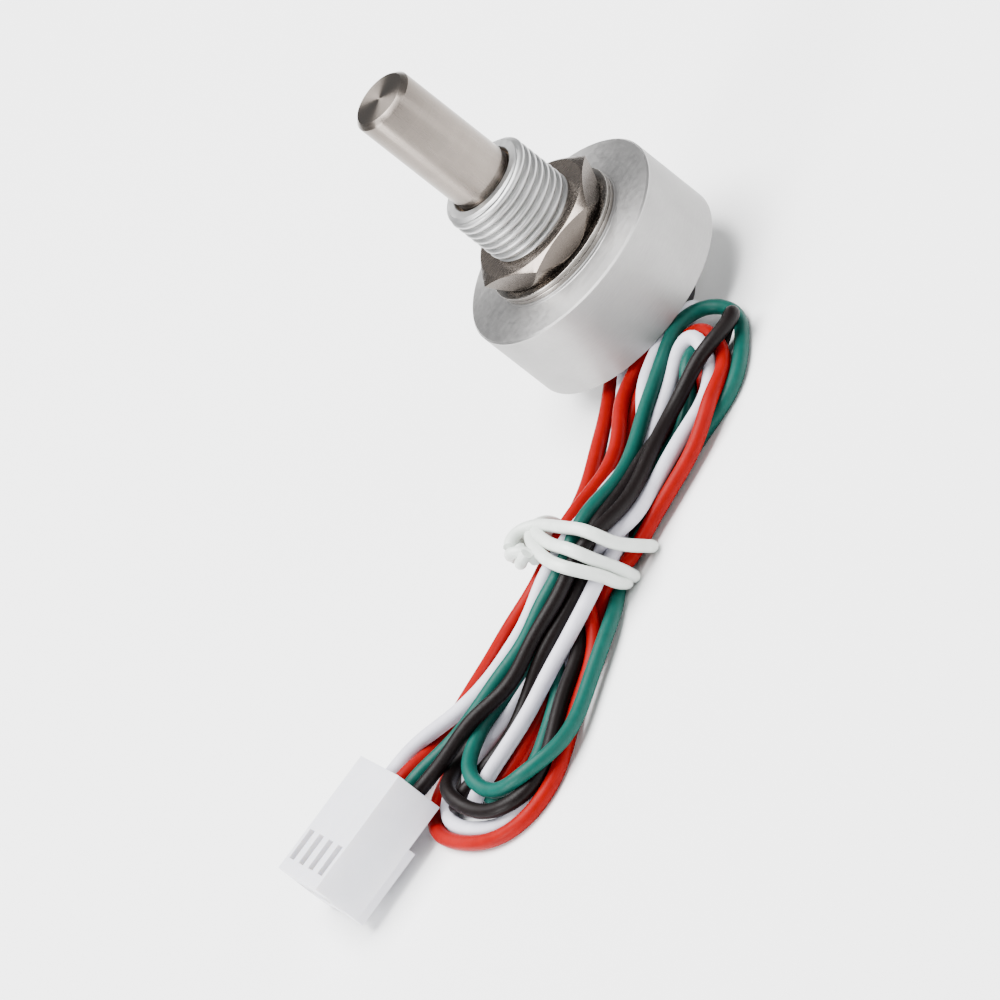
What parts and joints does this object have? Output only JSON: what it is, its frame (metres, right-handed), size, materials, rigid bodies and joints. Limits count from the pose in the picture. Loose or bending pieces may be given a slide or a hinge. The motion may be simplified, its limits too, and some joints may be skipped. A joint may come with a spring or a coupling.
{
  "type": "rotary encoder",
  "caption": "Shaft encoder with a round metal body, threaded panel bushing with nut and washers, plain round shaft, and a tied hank of flying leads ending in a crimp connector.",
  "frame": {"origin": "on the shaft's axis, at the surface the encoder stands on, which is the foot of its lead outlet", "axes": "+Z along the shaft towards its free end; the leads leave towards -X and -Y"},
  "size_m": [0.0699, 0.0503, 0.0348],
  "materials": {
    "anodised": "satin clear-anodised turned aluminium",
    "cover_metal": "satin turned aluminium",
    "screw_steel": "plain machined steel",
    "outlet_rubber": "matte black moulding",
    "spacer_plastic": "matte natural moulding",
    "board": "green solder resist over fibreglass",
    "chip_black": "matte black chip moulding",
    "ceramic_tan": "tan ceramic",
    "resistor_black": "dark ceramic",
    "copper": "tinned copper wire",
    "solder": "bright solder",
    "sleeve_bronze": "sintered bronze",
    "bearing_steel": "ground bearing steel",
    "shield_steel": "thin pressed steel",
    "cage_brass": "pressed brass",
    "ball_steel": "polished steel balls",
    "shaft_steel": "fine-ground stainless steel with a turned end",
    "magnet": "nickel-plated magnet",
    "clip_steel": "dark spring steel",
    "washer_steel": "plated steel",
    "nut_nickel": "satin nickel plate",
    "red_pvc": "semi-gloss red insulation",
    "white_pvc": "semi-gloss white insulation",
    "green_pvc": "semi-gloss green insulation",
    "black_pvc": "semi-gloss black insulation",
    "hank_pvc": "semi-gloss insulation in four colours",
    "tie_plastic": "pale semi-gloss plastic over wire",
    "nylon": "translucent natural nylon",
    "terminal_tin": "tin-plated contact metal"
  },
  "bodies": {
    "stator": {"housing": "anodised", "back_cover": "cover_metal", "cover_screws": "screw_steel", "lead_outlet": "outlet_rubber", "board_spacer": "spacer_plastic", "circuit_board": "board", "sensor_chip": "chip_black", "board_capacitors": "ceramic_tan", "board_resistors": "resistor_black", "lead_conductors": "copper", "solder_joints": "solder", "sleeve_bearing": "sleeve_bronze", "bearing_outer_race": "bearing_steel", "bearing_upper_shield": "shield_steel", "bearing_lower_shield": "shield_steel", "flat_washer": "washer_steel", "lock_washer": "washer_steel", "mounting_nut": "nut_nickel", "lead_red": "red_pvc", "lead_white": "white_pvc", "lead_green": "green_pvc", "lead_black": "black_pvc", "lead_hank": "hank_pvc", "tail_red": "red_pvc", "tail_white": "white_pvc", "tail_green": "green_pvc", "tail_black": "black_pvc", "twist_tie": "tie_plastic", "connector_housing": "nylon", "terminal_red": "terminal_tin", "terminal_white": "terminal_tin", "terminal_green": "terminal_tin", "terminal_black": "terminal_tin"},
    "rotor": {"shaft": "shaft_steel", "sensor_magnet": "magnet", "bearing_inner_race": "bearing_steel", "upper_retaining_ring": "clip_steel", "lower_retaining_ring": "clip_steel"},
    "ball_cage": {"bearing_balls": "ball_steel", "bearing_cage": "cage_brass"}
  },
  "joints": [
    {"name": "shaft_spin", "type": "hinge", "parent": "stator", "child": "rotor", "pos_m": [0, 0, 0.0094], "axis": [0, 0, 1], "continuous": true},
    {"name": "cage_spin", "type": "hinge", "parent": "stator", "child": "ball_cage", "pos_m": [0, 0, 0.0094], "axis": [0, 0, 1], "continuous": true}
  ],
  "couplings": [
    {"joint": "cage_spin", "follows": "shaft_spin", "ratio": 0.4167}
  ]
}
